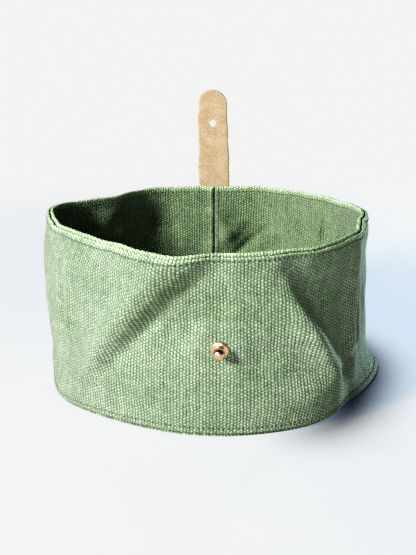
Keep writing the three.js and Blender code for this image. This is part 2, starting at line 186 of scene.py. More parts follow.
def grid_mesh(name, points, uv, close_rows=False, close_columns=False):
    """A mesh over rows of points, or over many such grids of one uv.

    Where a grid closes on itself, uv has one more row or column."""
    rows, columns = points.shape[-3:-1]
    starts = np.arange(0, points.size // 3, rows * columns)[:, None, None]
    bands = np.arange(rows if close_rows else rows - 1)
    strips = np.arange(columns if close_columns else columns - 1)
    row, column = (part.ravel() for part in np.meshgrid(bands, strips, indexing="ij"))
    corners = [(row, column), (row, column + 1), (row + 1, column + 1), (row + 1, column)]
    faces = np.stack([(r % rows) * columns + c % columns for r, c in corners], axis=1)
    uvs = np.stack([uv[r, c] for r, c in corners], axis=1)
    faces = (starts + faces).reshape(-1, 4)
    return make_mesh(name, points.reshape(-1, 3), faces.tolist(), np.tile(uvs, (len(starts), 1, 1)))


def tidy_mesh(obj, caps=()):
    """Merges points that coincide and faces the surface outwards.

    caps are outlines, each closed with a face of its own points, so that the sides keep their shading.
    Such a face joins no other, so nothing here decides which way it faces."""
    mesh = bmesh.new()
    mesh.from_mesh(obj.data)
    bmesh.ops.remove_doubles(mesh, verts=mesh.verts, dist=1e-6)
    bmesh.ops.dissolve_degenerate(mesh, edges=mesh.edges, dist=1e-7)
    for outline in caps:
        mesh.faces.new([mesh.verts.new(point * MM) for point in outline])
    bmesh.ops.recalc_face_normals(mesh, faces=mesh.faces)
    mesh.to_mesh(obj.data)
    mesh.free()
    return obj


def cut(obj, cutter):
    """Takes the cutter's solid out of a mesh, and removes the cutter."""
    modifier = obj.modifiers.new("cut", "BOOLEAN")
    modifier.operation = "DIFFERENCE"
    modifier.solver = "EXACT"
    modifier.object = cutter
    depsgraph = bpy.context.evaluated_depsgraph_get()
    solid = bpy.data.meshes.new_from_object(obj.evaluated_get(depsgraph))
    obj.modifiers.clear()
    obj.data = solid
    bpy.data.objects.remove(cutter)


def finish_piece(obj, material, body, replaced):
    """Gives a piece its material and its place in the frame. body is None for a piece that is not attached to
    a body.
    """
    obj.data.materials.clear()
    obj.data.materials.append(material)
    if body:
        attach(obj, body)
    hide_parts(*replaced)
    return obj


def smoothstep(low, high, x):
    """0 below low, 1 above high, and a smooth rise between."""
    t = np.clip((x - low) / (high - low), 0, 1)
    return t * t * (3 - 2 * t)


def bell(distance, width):
    """1 where the distance is 0, falling away smoothly over the width."""
    return np.exp(-((distance / width) ** 2))


def turn_between(a, b):
    """The turn from direction b to direction a, from -180 to 180 degrees."""
    return (a - b + 180) % 360 - 180


def cloth_between(a, b):
    """Length of cloth between two directions round the bag."""
    return turn_between(a, b) * CLOTH_ROUND / 360


def waves(angle, z, seed, shortest, longest, count=30):
    """Irregular shallow waves that join up round the bag: plane waves of mixed headings, about -1 to 1."""
    random = np.random.default_rng(seed)
    turn = np.radians(angle)
    total = 0
    for _ in range(count):
        heading = random.uniform(0, 2 * math.pi)
        length = random.uniform(shortest, longest)
        round_bag = round(CLOTH_ROUND * math.cos(heading) / length)
        phase = random.uniform(0, 2 * math.pi)
        climb = 2 * math.pi * math.sin(heading) / length
        total = total + np.cos(turn * round_bag + climb * z + phase)
    return total / math.sqrt(count)


# ---- the soft wall ----

# Bulges and hollows: direction and half-width in degrees, height and half-height, and how far the wall moves.
WALL_SHAPE = [
    (162, 19, 61, 69, 14),  # left end
    (-133, 28, 107, 15, -10),  # rim pulled in, front left
    (-111, 13, 94, 17, 7),  # rim standing forward, left of the stud
    (-119, 22, -1, 31, -2.5),  # foot drawn in, front left
    (-61, 13, 70, 69, 4),  # right of the stud
    (-37, 22, 43, 68, -8.5),  # front right
    (-9, 15, 78, 86, -8.5),  # right side, pushed in
    (2, 24, -3, 11, 10),  # slack that settles over the base on the right
    (90, 32, 0, 60, 2),  # back, drawn out by the strap
    (68, 16, 99, 60, 8),  # back right
    (111, 16, 99, 60, 8.5),  # back left
    (141, 15, 99, 50, -5.5),  # left of the back
]

# Folds that run aslant: direction and height of the middle, tilt from level, half-length and half-width along
# the wall, and how far the wall moves.
WALL_FOLDS = [
    (-118, 62, 48, 47, 8.5, 8),  # crest from the foot to the rim, left of the stud
    (-102, 57, 27, 28, 14, -4.5),  # recess below that crest
    (-89, 85, -3, 14, 13, -4),  # hollow under the rim, above the stud
    (-59, 52, -55, 32, 7.5, 9),  # crest down from the rim, right of the stud
    (-60, 75, -38, 25, 16, -8),  # hollow above that crest
    (-151, 5, 13, 32, 12, 4),  # slack over the base, front left
    (-127, 26, 30, 18, 8, 1.5),  # end of the left crest
    (-71, 20, 10, 30, 10, 2.5),  # slack over the base, under the stud
    (-52, 18, -33, 20, 17, 7.5),  # end of the right crest
]

# Finer creases of the outer cloth, written like the folds.
WALL_CREASES = [
    (-121, 65, 47, 38, 4, 1.9),  # sharpens the left crest's edge
    (-113.5, 57, 47, 38, 4.5, -3.5),
    (-97, 83, 30, 15, 5.5, -2.2),  # hollow under the rim, where the left crest ends
    (-63, 66, -60, 22, 4, 1.5),  # sharpens the right crest's edge
    (-56, 66, -60, 22, 5, -2.2),
    (-155, 52, 86, 32, 4, -2.4),  # upright creases at the left
    (-147, 56, 84, 28, 3.5, 1.8),
    (-39, 58, 97, 24, 6, -1.5),  # upright folds at the right
    (-30.5, 58, 93, 32, 6.0, 2.8),
    (-20, 56, 90, 32, 5.5, -3.0),
    (-9, 52, 94, 26, 5.0, 1.6),
    (-34, 38, 60, 14, 2.6, -1.4),
    (-27, 28, 25, 16, 3.5, -1.6),
]

# Folds of the lining alone.
LINING_FOLDS = [
    (88, 75, 80, 60, 24, -2.7),  # cloth leaning in from the seam
    (82.5, 67, -39, 15, 6.0, -4.6),  # crest that runs down to the seam from the right
    (76, 58, -41, 14, 3, 3.5),  # and the sharp crease under it
    (87.5, 78, 62, 17, 4.5, -4.2),  # cloth standing forward, right of the seam
    (79, 78, 62, 15, 5, 2),
    (61, 79, 52, 28, 8, -3),  # slanting crest, further right
    (50, 76, 52, 24, 5, 1.5),
    (40.5, 75, 92, 13, 2.4, -2.6),  # upright crest
    (31, 82, 48, 12, 2.6, 1.6),  # crease near the right end
    (35, 83, 48, 12, 4, -1.6),
    (104, 66, 70, 22, 6, -1.2),
    (116, 72, 75, 30, 9, 2),
]


def folded(angle, z, folds):
    """How far out a list of slanting folds moves the cloth."""
    out = 0
    for at, height, tilt, long, wide, size in folds:
        across = cloth_between(angle, at)
        up = z - height
        turn = math.radians(tilt)
        along = across * math.cos(turn) + up * math.sin(turn)
        aside = up * math.cos(turn) - across * math.sin(turn)
        out = out + size * bell(along, long) * bell(aside, wide)
    return out


def slack_radius(angle, z):
    """The wall as it hangs, before the strap and the stud press parts of it flat."""
    radius = BASE_RADIUS + (RIM_RADIUS - BASE_RADIUS) * z / HEIGHT
    for at, wide, height, tall, out in WALL_SHAPE:
        radius = radius + out * bell(turn_between(angle, at), wide) * bell(z - height, tall)
    return radius + folded(angle, z, WALL_FOLDS)


def stud_seat():
    """Where the stud sits: a point on the wall and the level direction out of it."""
    turns = np.radians(STUD_ANGLE + np.array([-0.5, 0.0, 0.5]))
    radii = slack_radius(np.degrees(turns), STUD_Z)
    before, point, after = (Vector((r * math.cos(t), r * math.sin(t), STUD_Z)) for t, r in zip(turns, radii))
    along = after - before
    return point, Vector((along.y, -along.x, 0)).normalized()


STUD_POINT, STUD_OUT = stud_seat()


def wall_radius(angle, z):
    """Distance of the wall's outside from the bag's axis, towards `angle` and at height z."""
    wrinkles = 0.42 * waves(angle, z, seed=5, shortest=16, longest=46) * smoothstep(0, 12, z)
    radius = slack_radius(angle, z) + folded(angle, z, WALL_CREASES) + wrinkles

    off = np.abs(turn_between(angle, SEAM_ANGLE))
    flat = BACK_Y / np.cos(np.radians(np.minimum(off, BACK_FADE_HALF)))
    radius = flat + (radius - flat) * smoothstep(BACK_FLAT_HALF, BACK_FADE_HALF, off)

    turn = np.radians(angle)
    facing = np.cos(turn) * STUD_OUT.x + np.sin(turn) * STUD_OUT.y
    flat = STUD_POINT.to_2d().dot(STUD_OUT.to_2d()) / np.maximum(facing, 0.5)
    from_stud = np.hypot(cloth_between(angle, STUD_ANGLE), z - STUD_Z)
    return flat + (radius - flat) * smoothstep(STUD_FLAT_RADIUS, STUD_FADE_RADIUS, from_stud)


def foot_settles(angle):
    """By what share the slack at the right lets the wall's foot down over the base panel's edge."""
    return bell(turn_between(angle, SETTLES_ANGLE), SETTLES_HALF)


def round_axis(radius, angle, z):
    """Points at a distance from the bag's axis, towards directions in degrees."""
    turn = np.radians(angle)
    return np.stack([radius * np.cos(turn), radius * np.sin(turn), z], axis=-1)


def wall_points(angle, z, inset):
    """Points of the cloth at an inset from the wall's outside.

    The rim undulates, and the foot settles at the right."""
    lift = RIM_WAVE * waves(angle, 0, seed=11, shortest=20, longest=90) * smoothstep(80, HEIGHT, z)
    lift = lift - FOOT_SETTLES * foot_settles(angle) * (1 - smoothstep(0, 9, z))
    return round_axis(wall_radius(angle, z) - inset, angle, z + lift)


def stitch_dent(angle, z):
    """How deep a row of stitching draws the cloth in: deepest where the needle went through."""
    along = cloth_between(angle, SEAM_ANGLE) / STITCH_PITCH
    pull = STITCH_PULL + HOLE_PULL * np.cos(2 * math.pi * along)
    return pull * sum(bell(z - row_z, PULL_HALF) for row_z in SEWN_ZS)


def outer_points(angle, z, inset):
    """The outer cloth follows the wall; its rim dips below the lining's at the front."""
    outside = inset <= 0.01
    points = wall_points(angle, z, inset + np.where(outside, stitch_dent(angle, z), 0))
    above_stitches = smoothstep(RIM_STITCH_Z + 0.5, OUTER_TOP_Z, z)
    dip = RIM_DIP * bell(turn_between(angle, DIP_ANGLE), DIP_HALF) * above_stitches
    return points - np.stack([0 * dip, 0 * dip, dip], axis=-1)


def lining_points(angle, z, inset):
    """The lining follows the wall, with folds of its own below the rim and a sewn seam at the back."""
    inside = inset >= WALL_THICKNESS - 0.01
    free = 1 - smoothstep(HEM_FOOT_Z - 12, HEM_FOOT_Z, z)
    wrinkles = 0.4 * waves(angle, z, seed=23, shortest=14, longest=40)
    own = folded(angle, z, LINING_FOLDS) + wrinkles
    across = cloth_between(angle, SEAM_ANGLE)
    ridges = SEAM_RIDGE * bell(np.abs(across) - RIDGE_OFF, RIDGE_HALF)
    seam = SEAM_GROOVE * bell(across, GROOVE_HALF) - ridges
    dent = np.where(z > HEIGHT / 2, stitch_dent(angle, z), 0)
    moved = inset - np.where(inside, dent + seam, 0) - np.minimum(own * free, LINING_ROOM)
    return wall_points(angle, z, moved)


def arc(middle, radius, start, end, steps=8):
    """Points of a section round part of a circle, from one angle to another in degrees."""
    turns = np.radians(np.linspace(start, end, steps))
    return np.stack([middle[0] + radius * np.cos(turns), middle[1] + radius * np.sin(turns)], axis=1)


def round_angles(steps=ROUND_STEPS, seam_steps=0):
    """Directions once round from the seam, closer together at the seam by that many steps."""
    close = 2.2  # degrees on each side of the seam
    even = np.linspace(close, 360 - close, steps - 2 * seam_steps + 1)
    near = np.linspace(0, close, seam_steps + 1)[:-1]
    far = 360 - near[:0:-1]
    return SEAM_ANGLE + np.concatenate([near, even, far])


def length_along(section):
    """Length from a section's start to each of its points."""
    return np.concatenate([[0], np.cumsum(np.linalg.norm(np.diff(section, axis=0), axis=1))])


def follow_wall(name, section, place, angles):
    """A closed cloth piece round the wall. section is [inset, z] in order; its UV is millimetres of cloth."""
    section = np.asarray(section, float)
    grid_angle, grid_z = np.meshgrid(angles, section[:, 1])
    grid_inset = np.repeat(section[:, :1], len(angles), axis=1)
    points = place(grid_angle, grid_z, grid_inset)
    across = np.append(angles - SEAM_ANGLE, 360) * CLOTH_ROUND / 360
    uv = np.stack(np.meshgrid(across, length_along([*section, section[0]])), axis=-1)
    return grid_mesh(name, points, uv, close_rows=True, close_columns=True)


def side_heights(low, high):
    """Heights up a side, closer together where the stitching draws the cloth in."""
    heights = np.linspace(low, high, 84)
    near = [row + off for row in SEWN_ZS for off in (-1.4, -0.9, -0.45, 0, 0.45, 0.9, 1.4)]
    clear = [z for z in heights[1:-1] if min(abs(z - row) for row in SEWN_ZS) > 1.8]
    return np.array(sorted([low, high, *clear, *near]))


def outer_wall():
    """The outer tube: up its outside, over the rim, down the hem and the inside, and round its foot."""
    top = OUTER_TOP_Z - EDGE_RADIUS
    outside = [[0, z] for z in side_heights(OUTER_FOOT_Z, top)[:-1]]
    rim = arc((EDGE_RADIUS, top), EDGE_RADIUS, 180, 0, 13)
    hem = [[2 * EDGE_RADIUS, z] for z in np.linspace(top - HEM_TAPER, HEM_FOOT_Z, 5)]
    inside = [[PLY, z] for z in np.linspace(HEM_FOOT_Z - HEM_TAPER, OUTER_FOOT_Z, 16)]
    roll = arc((PLY / 2, OUTER_FOOT_Z), PLY / 2, 360, 180, 7)[1:-1]
    section = [*outside, *rim, *hem, *inside, *roll]
    return follow_wall("outer_wall_cloth", section, outer_points, round_angles())


def lining_wall():
    """The lining's tube: up against the outer cloth, over the rim, and down its open side."""
    top = HEIGHT - EDGE_RADIUS
    middle = WALL_THICKNESS - EDGE_RADIUS
    outside = [[WALL_THICKNESS - PLY, z] for z in np.linspace(LINING_FOOT_Z, HEM_FOOT_Z - HEM_TAPER, 16)]
    hem = [[WALL_THICKNESS - 2 * EDGE_RADIUS, z] for z in np.linspace(HEM_FOOT_Z, top - HEM_TAPER, 5)]
    rim = arc((middle, top), EDGE_RADIUS, 180, 0, 13)
    inside = [[WALL_THICKNESS, z] for z in side_heights(LINING_FOOT_Z, top)[:-1][::-1]]
    section = [*outside, *hem, *rim, *inside]
    return follow_wall("lining_wall_cloth", section, lining_points, round_angles(seam_steps=24))


# ---- the base panels ----

def panel(name, steps, underside, edge, top, lift=0.0):
    """A round panel, from the middle of its underside out round its edge to the middle of its top.

    Its two faces and the points of its edge are (inset from the wall, z). The cloth may rise by up to
    `lift` between the middle and the edge."""
    shares = np.linspace(0, 1, steps)
    section = [*((share, *underside) for share in shares), *((1, *point) for point in edge),
               *((share, *top) for share in shares[::-1])]
    angles = round_angles(360)
    slack = 0.5 + 0.5 * waves(angles, 0, seed=7, shortest=60, longest=200)
    rings = []
    uvs = []
    for share, inset, z in section:
        tuck = FOOT_TUCK * foot_settles(angles) * (1 - smoothstep(1.7, 3.2, z))
        radius = (wall_radius(angles, z) - inset - tuck) * share
        rise = lift * slack * share * (1 - share) * 4
        ring = round_axis(radius, angles, z + rise)
        rings.append(ring)
        uvs.append(np.concatenate([ring, ring[:1]])[:, :2])
    return tidy_mesh(grid_mesh(name, np.array(rings), np.array(uvs), close_columns=True))


def outer_base():
    """The outer panel, its edge rolled out under the wall's foot and turned up inside it."""
    roll = 0.85  # radius of the rolled edge
    rolled = arc((1.8, roll), roll, 280, 500, 12)
    turned_up = [(1.6, 3.2), (1.6, TURN_UP_Z), (2.6, TURN_UP_Z), (2.6, 1.4)]
    return panel("outer_base_cloth", 24, (2.0, 0.02), [*rolled, *turned_up], (3.2, 1.3))


def lining_base():
    """The lining's panel, which lies slack on the outer one."""
    return panel("lining_base_cloth", 40, (3.6, 1.55), [(3.3, 2.1)], (3.6, 2.7), lift=0.9)


# ---- stitching ----

def stitch_row(name, row_z, face, facing, seed):
    """Every stitch of a row: a short bent thread that rises from the cloth and goes back into it.

    face is the inset of the sewn face. facing is -1 where the stitch stands out from the bag, and 1 where
    it stands into it."""
    random = np.random.default_rng(seed)
    steps, sides = 7, 8
    share = np.linspace(-0.5, 0.5, steps)
    length = STITCH_LENGTH * random.uniform(0.92, 1.08, (STITCHES, 1))
    middle = (np.arange(STITCHES)[:, None] + 0.5) * STITCH_PITCH
    angle = SEAM_ANGLE + (middle + share * length) * 360 / CLOTH_ROUND
    slant = random.normal(0.10, 0.05, (STITCHES, 1))
    height = row_z + share * slant * length + random.normal(0, 0.06, (STITCHES, 1))
    arch, sink = 0.16, 0.75  # how far the thread stands off the cloth, and how far its ends go into it
    stand = arch - sink * np.abs(2 * share) ** 3 + 0 * angle
    thick = THREAD_RADIUS * np.sqrt(np.clip(1 - np.abs(2 * share) ** 4, 0, 1))

    around = np.linspace(0, 2 * math.pi, sides, endpoint=False)
    out = thick[None, :, None] * np.cos(around)
    up = thick[None, :, None] * np.sin(around)
    grid_angle = np.repeat(angle[:, :, None], sides, axis=2)
    grid_inset = face + facing * (stand[:, :, None] + out)
    points = wall_points(grid_angle, height[:, :, None] + up, grid_inset)

    about, along = np.meshgrid(np.arange(sides + 1) / sides, share * STITCH_LENGTH)
    return tidy_mesh(grid_mesh(name, points, np.stack([along, about], axis=-1), close_columns=True))


# ---- the strap ----

def strap_y(z):
    """Middle of the leather: against the wall, out round the belt's room, and over the rim's stitching."""
    bow = smoothstep(*LOOP_LOW, z) - smoothstep(*LOOP_HIGH, z)
    return LOOP_Y + LOOP_DEPTH * bow + (FLAP_Y - LOOP_Y) * smoothstep(*STRAP_STEP, z)


def strap_x(z):
    """The strap's middle line: it leans above the rim, and wavers a little."""
    lean = -STRAP_LEAN * np.maximum(0, z - HEIGHT)
    return lean + 0.18 * np.sin(z / 6.1) + 0.12 * np.sin(z / 2.7 + 1)


def strap_half_width(z):
    """Half the strap's width: sides cut by hand, a round end, and a foot with its corners rounded."""
    end = STRAP_TIP_WIDTH / 2
    side = STRAP_WIDTH / 2 + (end - STRAP_WIDTH / 2) * smoothstep(HEIGHT, STRAP_END_Z, z)
    side = side + 0.15 * np.sin(z / 4.3)
    corner = 2.0
    foot = np.clip((z - STRAP_FOOT_Z) / corner, 0, 1)
    side = side - corner * (1 - np.sqrt(1 - (1 - foot) ** 2))
    tip = np.sqrt(np.clip(1 - (np.maximum(0, z - STRAP_END_Z) / end) ** 2, 0, 1))
    return side * tip


def strap_piece(name, heights, square_ends):
    """A stretch of strap with rounded edges, over a list of heights.

    square_ends says which ends meet another stretch and are closed flat: 0 is its foot, -1 its top."""
    columns = 31
    across = np.sin(np.linspace(-math.pi / 2, math.pi / 2, columns))
    z = np.asarray(heights, float)[:, None]
    x = strap_half_width(z) * across
    edge = strap_half_width(z) - np.abs(x)
    edge = np.where(z > STRAP_END_Z, STRAP_TIP_WIDTH / 2 - np.hypot(x, z - STRAP_END_Z), edge)
    edge = np.minimum(edge, z - STRAP_FOOT_Z)
    round_off = 1 - (1 - np.clip(edge / STRAP_EDGE, 0, 1)) ** 2
    half = STRAP_THICKNESS / 2 * np.sqrt(np.clip(round_off, 0, 1))

    slope = (strap_y(z + 0.1) - strap_y(z - 0.1)) / 0.2
    out_y, out_z = 1 / np.hypot(1, slope), -slope / np.hypot(1, slope)
    wall_side, back_side = (
        np.stack([x + strap_x(z), strap_y(z) + side * half * out_y, z + side * half * out_z], axis=-1)
        for side in (-1, 1))
    points = np.concatenate([wall_side, back_side[:, ::-1]], axis=1)

    travel = length_along(np.hstack([strap_y(z), z])) + z[0, 0]
    back_grain = 60 + x  # the leather's back takes its grain from another part of the pattern
    flat_x = np.concatenate([x, back_grain, x[:, :1]], axis=1)
    uv = np.stack([flat_x, np.broadcast_to(travel[:, None], flat_x.shape)], axis=-1)
    return tidy_mesh(grid_mesh(name, points, uv, close_columns=True), [points[end] for end in square_ends])


def buttonhole_cutter():
    """A round hole that narrows into a slit, as a solid through the strap."""
    radius = 2.3
    notch_z, slit_end, slit_half = -3.0, -7.6, 0.10  # the slit begins and ends below the hole's middle
    outline = [*arc((0, 0), radius, -72, 252, 40),
               (-slit_half, notch_z), (-slit_half, slit_end), (slit_half, slit_end), (slit_half, notch_z)]
    x, z = (np.array(outline) + [strap_x(BUTTONHOLE_Z), BUTTONHOLE_Z]).T
    points = np.concatenate([np.stack([x, 0 * x + y, z], axis=-1) for y in (FLAP_Y - 4, FLAP_Y + 4)])
    count = len(outline)
    sides = [(n, (n + 1) % count, count + (n + 1) % count, count + n) for n in range(count)]
    faces = [*sides, tuple(range(count))[::-1], tuple(range(count, 2 * count))]
    uvs = [(points[n][0], points[n][2]) for face in faces for n in face]
    return tidy_mesh(make_mesh("buttonhole_cutter", points, faces, uvs))


def strap():
    """The strap as three stretches. Each holds one hinge, and meets the next above the middle between their
    hinges.
    """
    bend = 7  # height over which the leather bends at a hinge
    join_low, join_high = ((below + above) / 2 + bend / 2 for below, above in zip(HINGE_ZS, HINGE_ZS[1:]))
    foot = STRAP_FOOT_Z + np.array([0, 0.06, 0.25, 0.55, 0.9, 1.4, 2.0])
    low = [*foot, *np.linspace(STRAP_FOOT_Z + 3, 98, 80), *np.arange(99, join_low - 0.3, 0.6), join_low]
    middle = np.linspace(join_low, join_high, 24)
    tip = STRAP_TIP_WIDTH / 2 * np.sin(np.linspace(0, math.pi / 2, 30)) + STRAP_END_Z
    high = [*np.linspace(join_high, STRAP_END_Z, 44)[:-1], *tip]

    pieces = [strap_piece("strap_loop_and_root", low, [-1]),
              strap_piece("strap_middle_stretch", middle, [0, -1]),
              strap_piece("strap_tip_stretch", high, [0])]
    cut(pieces[2], buttonhole_cutter())
    pieces[2].data.set_sharp_from_angle(angle=math.radians(45))
    stands_for = [["strap_belt_loop", "strap_flap_lower"], ["strap_flap_middle"], ["strap_flap_tip"]]
    for n, piece in enumerate(pieces):
        finish_piece(piece, leather, None, stands_for[n])
        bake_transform(piece)


# ---- rivets and stud ----

def turned(name, profile, point, out, material, slot, cutter=None):
    """A turned piece on an axis from `point` along `out`; profile is [radius, distance] in order.

    It stands for the node whose name it has before "_turned"."""
    profile = np.asarray(profile, float)
    sides = 64
    around = np.linspace(0, 2 * math.pi, sides, endpoint=False)
    out = Vector(out).normalized()
    aside = out.cross(Vector((0, 0, 1))).normalized()
    up = aside.cross(out)
    spin = np.cos(around)[:, None] * np.array(aside) + np.sin(around)[:, None] * np.array(up)
    points = np.array(point) + profile[:, 1, None, None] * np.array(out) + profile[:, 0, None, None] * spin
    uv = np.stack(np.meshgrid(np.arange(sides + 1) * 0.4, length_along(profile)), axis=-1)
    obj = tidy_mesh(grid_mesh(name, points, uv, close_columns=True))
    if cutter:
        cut(obj, cutter)
    obj.data.set_sharp_from_angle(angle=math.radians(40))
    return finish_piece(obj, material, "bag", [name.removesuffix("_turned")])


def rivet_post():
    """Profile of a rivet's flat head and its shank, which ends inside the cap."""
    head, edge, shank = 4.1, 0.4, 1.6
    under = BEHIND_RIVETS - 2 * edge
    end = CAP_SEAT + 0.6
    return [[0, under], [head, under], *arc((head, BEHIND_RIVETS - edge), edge, -90, 90),
            [shank, BEHIND_RIVETS], [shank, end], [0, end]]


def rivet_cap():
    """Profile of a rivet's domed cap, with the socket that its shank goes into."""
    cap, edge, socket, socket_end = 4.2, 0.3, 1.9, CAP_SEAT + 0.8
    dome_foot, dome_rise = CAP_SEAT + 0.35, 1.25
    dome = arc((0, 0), 1, 0, 90, 14) * [cap, dome_rise] + [0, dome_foot]
    return [[0, socket_end], [socket, socket_end], [socket, CAP_SEAT],
            *arc((cap, CAP_SEAT + edge), edge, -90, 0), *dome[1:]]


def rivets():
    for place, z in RIVET_ZS.items():
        for part, profile in (("post", rivet_post()), ("cap", rivet_cap())):
            turned(f"{place}_rivet_{part}_turned", profile, (0, BACK_Y, z), (0, 1, 0), copper, "copper")


def screw_slot():
    """A solid across the screw's head, to cut its slot."""
    width, depth, reach = 0.8, 0.6, 6.0
    face = INSIDE_SEAT - SCREW_HEAD
    aside = STUD_OUT.cross(Vector((0, 0, 1)))
    points = [STUD_POINT + STUD_OUT * (face + depth * a) + aside * (reach * b) + Vector((0, 0, width / 2 * c))
              for a in (-1, 1) for b in (-1, 1) for c in (-1, 1)]
    faces = [(0, 1, 3, 2), (4, 6, 7, 5), (0, 4, 5, 1), (2, 3, 7, 6), (0, 2, 6, 4), (1, 5, 7, 3)]
    return tidy_mesh(make_mesh("screw_slot_cutter", points, faces, [(0, 0)] * 24))


def stud():
    """Flange, neck and ball in one turned piece, bored for its screw."""
    bore, bore_end = 1.65, TOUCH + 5
    flange, flange_edge, neck, neck_bend, ball = 4.6, 0.45, 1.85, 0.7, 3.3
    ball_middle = TOUCH + 8.9 - ball
    sphere = arc((0, ball_middle), ball, math.degrees(math.asin(neck / ball)) - 90, 90, 30)
    profile = [[0, bore_end], [bore, bore_end], [bore, TOUCH], [flange - 0.4, TOUCH],
               *arc((flange - flange_edge, TOUCH + 0.5), flange_edge, -60, 80),
               [flange - 1.5, TOUCH + 1.35],
               *arc((neck + neck_bend, TOUCH + 2.1), neck_bend, 270, 180, 6), *sphere]
    turned("stud_turned", profile, STUD_POINT, STUD_OUT, copper, "copper")


def stud_screw():
    """The slotted screw that comes through the wall from inside the bag."""
    head, edge, shank, end = 3.5, 0.5, 1.35, TOUCH + 4.7
    face = INSIDE_SEAT - SCREW_HEAD
    profile = [[0, face], [head - 0.1, face], *arc((head, face + edge), edge, -90, 0),
               [head + edge, INSIDE_SEAT], [shank, INSIDE_SEAT], [shank, end], [0, end]]
    turned("stud_screw_turned", profile, STUD_POINT, STUD_OUT, copper, "copper", cutter=screw_slot())


def stud_washer():
    """The leather washer between the plies, round the screw."""
    hole, reach, edge, half = 1.65, 6.2, 0.3, 0.7
    middle = -WALL_THICKNESS / 2
    low, high = middle - half, middle + half
    profile = [[hole, low], [reach, low], *arc((reach, low + edge), edge, -90, 0, 5),
               *arc((reach, high - edge), edge, 0, 90, 5), [hole, high], [hole, low]]
    turned("stud_backing_washer_turned", profile, STUD_POINT, STUD_OUT, leather, "leather")


# ---- materials ----

SAGE = (0.29, 0.405, 0.235)
SAGE_LIGHT = (0.38, 0.50, 0.32)
# The lining's colours: the outer canvas darkened, as painted shade for the inside of the bag.
LINING_SAGE_SHADED = (0.205, 0.295, 0.148)
LINING_SAGE_LIGHT_SHADED = (0.265, 0.36, 0.195)
# painted shade in the gaps between the yarns
GAP_SHADE_COLOUR = (0.026, 0.046, 0.027)
# painted shade in the needle holes
HOLE_SHADE_COLOUR = (0.03, 0.045, 0.02)
# painted shade in the lining's seam
SEAM_SHADE_COLOUR = (0.012, 0.02, 0.008)
THREAD_DARK = (0.07, 0.11, 0.055)
THREAD_LIGHT = (0.20, 0.28, 0.16)
TAN = (0.52, 0.355, 0.205)
TAN_LIGHT = (0.62, 0.46, 0.29)
TAN_SPECK = (0.21, 0.12, 0.058)
COPPER = (0.80, 0.43, 0.24)
COPPER_LIGHT = (0.93, 0.60, 0.40)
FLOOR_GLOW = (0.58, 0.71, 0.87)  # what the floor shows even where the bag keeps the lights off
FLOOR_LIT = (0.265, 0.158, 0.025)  # its colour under the lights, on top of that
CONTACT_GLOW = (0.008, 0.014, 0.028)  # what it shows close to the bag, where the lights add nothing
BACKDROP = (0.896, 0.896, 0.896)


class Value:
    """What a node puts out, so that a pattern can be written as arithmetic."""

    def __init__(self, tree, socket):
        self.tree = tree
        self.socket = socket

    def math(self, operation, *others):
        return add_node(self.tree, "Math", dict(enumerate((self, *others))), operation=operation)

    __add__ = partialmethod(math, "ADD")
    __sub__ = partialmethod(math, "SUBTRACT")
    __mul__ = partialmethod(math, "MULTIPLY")
    __truediv__ = partialmethod(math, "DIVIDE")
    floor = partialmethod(math, "FLOOR")
    cos = partialmethod(math, "COSINE")
    power = partialmethod(math, "POWER")
    max = partialmethod(math, "MAXIMUM")

    def off_nearest(self):
        """How far the number is from the nearest whole number."""
        return self - (self + 0.5).floor()

    def remap(self, low, high, to_low=0.0, to_high=1.0):
        """A smooth passage from one value to another as the number goes from low to high."""
        inputs = dict(enumerate((self, low, high, to_low, to_high)))
        return add_node(self.tree, "MapRange", inputs, interpolation_type="SMOOTHSTEP")


def connect(value, socket):
    """Sets a socket to a constant, or links it to a value of its tree."""
    if isinstance(value, Value):
        value.tree.links.new(value.socket, socket)
    else:
        socket.default_value = value


def add_node(tree, kind, inputs, output=0, **settings):
    """An output of a new node. inputs says what goes into its sockets, by name or by number."""
    node = tree.nodes.new("ShaderNode" + kind)
    for setting, value in settings.items():
        setattr(node, setting, value)
    for socket, value in inputs.items():
        connect(value, node.inputs[socket])
    return Value(tree, node.outputs[output])


def new_material(name, **shader_settings):
    """A material with a Principled shader, its constants set on the shader's own sockets."""
    material = bpy.data.materials.new(name)
    material.use_nodes = True
    tree = material.node_tree
    shader = tree.nodes["Principled BSDF"]
    for socket, value in shader_settings.items():
        connect(value, shader.inputs[socket.replace("_", " ")])
    return material, tree, shader


def vector_of(x, y, z=0.0):
    return add_node(x.tree, "CombineXYZ", {"X": x, "Y": y, "Z": z})


def noise(vector, scale, detail=2.0, roughness=0.5):
    inputs = {"Vector": vector, "Scale": scale, "Detail": detail, "Roughness": roughness}
    return add_node(vector.tree, "TexNoise", inputs, "Fac")


def random_of(x, y):
    """A random number for each pair of whole numbers."""
    return add_node(x.tree, "TexWhiteNoise", {"Vector": vector_of(x, y)}, "Value", noise_dimensions="3D")


def mix_colour(share, a, b):
    """Colour a where the share is 0 and b where it is 1. Each is three numbers or a value of the tree."""
    a, b = (colour if isinstance(colour, Value) else (*colour, 1.0) for colour in (a, b))
    # A Mix node takes and gives numbers and vectors too: its colours are sockets 6 and 7, and output 2.
    return add_node(share.tree, "Mix", {"Factor": share, 6: a, 7: b}, 2, data_type="RGBA")


def brighten(colour, amount):
    """The colour with its brightness multiplied by a value of the tree."""
    return add_node(colour.tree, "HueSaturation", {"Value": amount, "Color": colour}, "Color")


def paint(shader, colour, height, depth_mm):
    """Gives a shader its colour, and relief from a height between 0 and 1."""
    connect(colour, shader.inputs["Base Color"])
    normal = add_node(height.tree, "Bump", {"Distance": depth_mm * MM, "Height": height}, "Normal")
    connect(normal, shader.inputs["Normal"])


def cloth_uv(tree):
    """Place on the piece's cloth, leather or metal: millimetres along it and up it, and both as a vector."""
    place = add_node(tree, "UVMap", {}, "UV", uv_map="cloth")
    u, v = (add_node(tree, "SeparateXYZ", {0: place}, axis) for axis in "XY")
    return u, v, place


